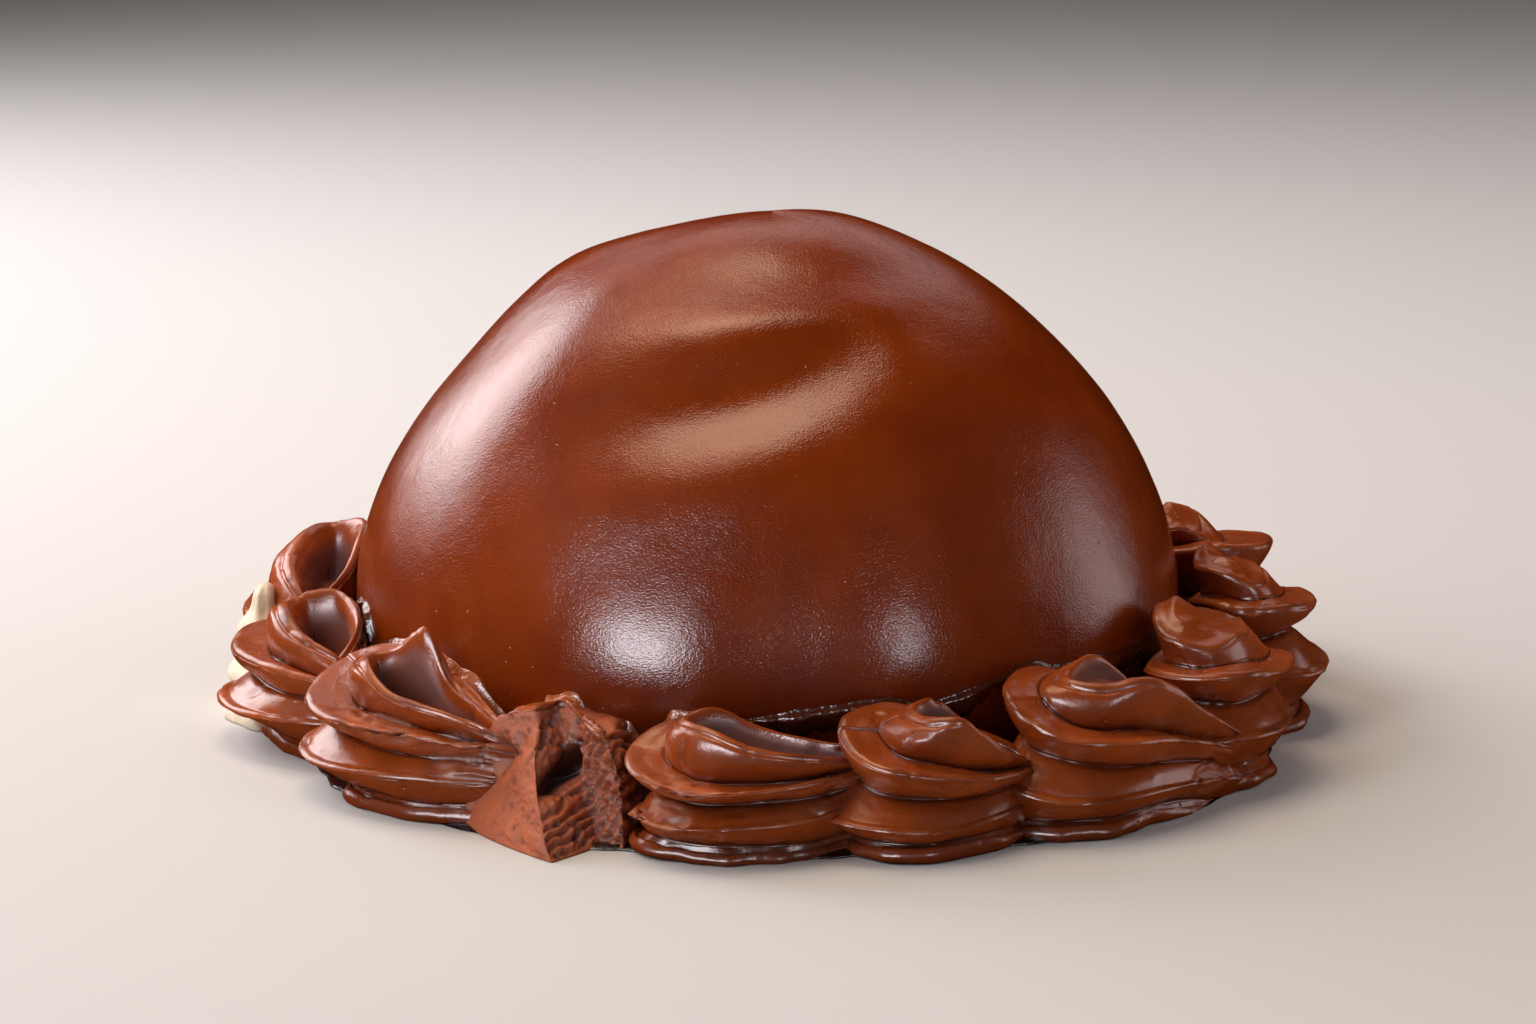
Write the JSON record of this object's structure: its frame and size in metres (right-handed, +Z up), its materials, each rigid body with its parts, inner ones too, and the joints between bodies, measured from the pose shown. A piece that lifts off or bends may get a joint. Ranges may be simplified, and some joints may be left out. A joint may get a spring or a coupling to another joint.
{
  "type": "chocolate cake",
  "caption": "Tall domed chocolate cake with a smooth glossy dented covering and a ring of piped chocolate swirls round its foot, one of them torn; uncut and solid.",
  "frame": {"origin": "middle of the flat underside of the cake, at the level it rests on", "axes": "+Z up; -Y towards the pictured front; +X to the right in the picture"},
  "size_m": [0.2652, 0.2602, 0.1222],
  "materials": {
    "dome": null,
    "swirls": "glossy piped chocolate frosting",
    "torn_swirl": "matt torn chocolate frosting",
    "cream_dab": "soft pale cream"
  },
  "bodies": {
    "root": {"dome": "dome", "swirl_01": "swirls", "swirl_02": "swirls", "swirl_03": "swirls", "swirl_04": "swirls", "swirl_05": "swirls", "swirl_06": "swirls", "swirl_07": "swirls", "swirl_08": "swirls", "swirl_09": "swirls", "swirl_10": "swirls", "swirl_11": "swirls", "swirl_12": "swirls", "swirl_13": "swirls", "swirl_14": "swirls", "torn_swirl": "torn_swirl", "cream_dab": "cream_dab"}
  },
  "joints": []
}
